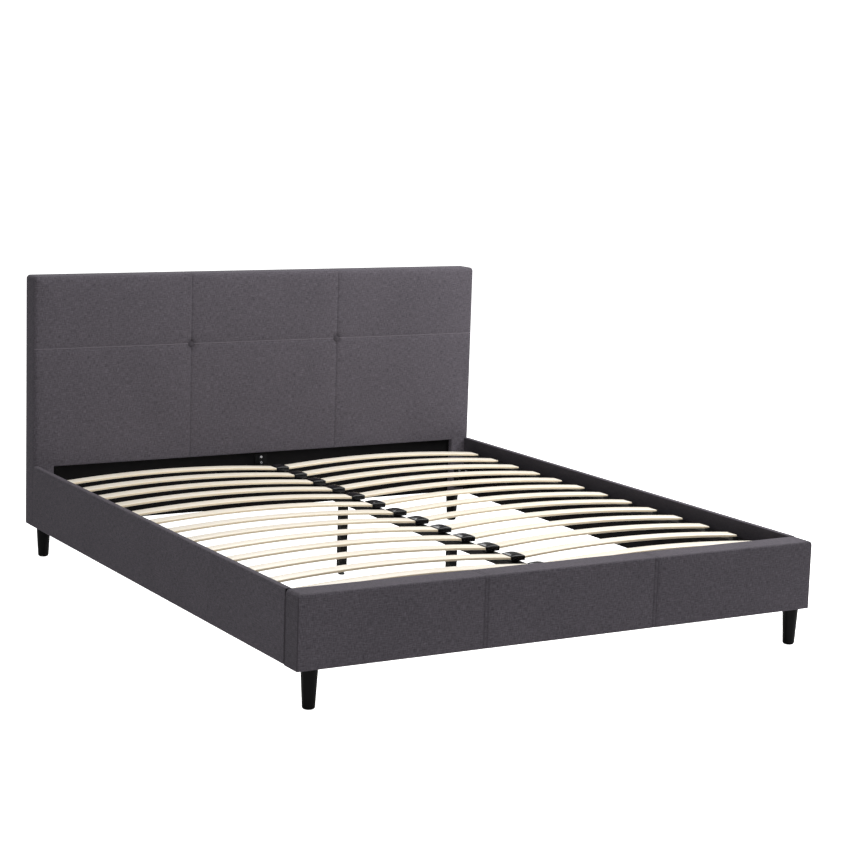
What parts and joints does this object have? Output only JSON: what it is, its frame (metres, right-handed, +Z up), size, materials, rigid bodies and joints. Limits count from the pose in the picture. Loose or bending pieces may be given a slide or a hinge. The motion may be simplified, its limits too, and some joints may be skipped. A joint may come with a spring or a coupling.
{
  "type": "upholstered bed frame",
  "caption": "Upholstered bed frame: padded headboard with covered buttons, wrapped side rails and footboard, sprung slats on a centre rail, turned legs.",
  "frame": {"origin": "on the floor under the middle of the bed's outline", "axes": "+X to the right seen from the foot end, +Y towards the headboard, +Z up"},
  "size_m": [1.88, 2.222, 1.045],
  "materials": {
    "fabric": "woven, linen look",
    "foam": "open-cell foam",
    "lining": "matt spunbond",
    "plywood": "raw",
    "pine": "raw",
    "black_board": "matt black foil",
    "birch": "satin",
    "black_lacquer": "satin lacquer",
    "black_steel": "powder coat",
    "zinc": "bright zinc",
    "black_plastic": "moulded",
    "black_cap": "gloss"
  },
  "bodies": {
    "bed_frame": {"headboard_panel": "plywood", "headboard_battens": "pine", "headboard_cross_rail": "black_board", "headboard_foam": "foam", "headboard_cover": "fabric", "headboard_back_cloth": "lining", "headboard_buttons": "fabric", "footboard_frame": "plywood", "footboard_foam": "foam", "footboard_cover": "fabric", "side_rail_left": "black_board", "side_rail_right": "black_board", "side_cover_left": "fabric", "side_cover_right": "fabric", "slat_ledger_left": "black_steel", "slat_ledger_right": "black_steel", "corner_brackets": "black_steel", "frame_bolts": "zinc", "leg_front_left": "black_lacquer", "leg_front_right": "black_lacquer", "leg_rear_left": "black_lacquer", "leg_rear_right": "black_lacquer", "leg_inserts": "zinc", "leg_studs": "zinc", "center_rail": "black_steel", "center_hangers": "black_steel", "center_leg_head": "black_steel", "center_leg_foot": "black_steel", "center_leg_plugs": "black_plastic", "center_caps": "black_cap", "side_shoes": "black_plastic", "ledger_screws": "zinc", "slat_left_01": "birch", "slat_left_02": "birch", "slat_left_03": "birch", "slat_left_04": "birch", "slat_left_05": "birch", "slat_left_06": "birch", "slat_left_07": "birch", "slat_left_08": "birch", "slat_left_09": "birch", "slat_left_10": "birch", "slat_left_11": "birch", "slat_left_12": "birch", "slat_left_13": "birch", "slat_right_01": "birch", "slat_right_02": "birch", "slat_right_03": "birch", "slat_right_04": "birch", "slat_right_05": "birch", "slat_right_06": "birch", "slat_right_07": "birch", "slat_right_08": "birch", "slat_right_09": "birch", "slat_right_10": "birch", "slat_right_11": "birch", "slat_right_12": "birch", "slat_right_13": "birch"},
    "glide_head_foot": {"glide_head": "black_plastic"},
    "glide_foot_foot": {"glide_foot": "black_plastic"}
  },
  "joints": [
    {"name": "glide_head_level", "type": "slide", "parent": "bed_frame", "child": "glide_head_foot", "axis": [0, 0, 1], "range_m": [-0.015, 0.005]},
    {"name": "glide_foot_level", "type": "slide", "parent": "bed_frame", "child": "glide_foot_foot", "axis": [0, 0, 1], "range_m": [-0.015, 0.005]}
  ]
}
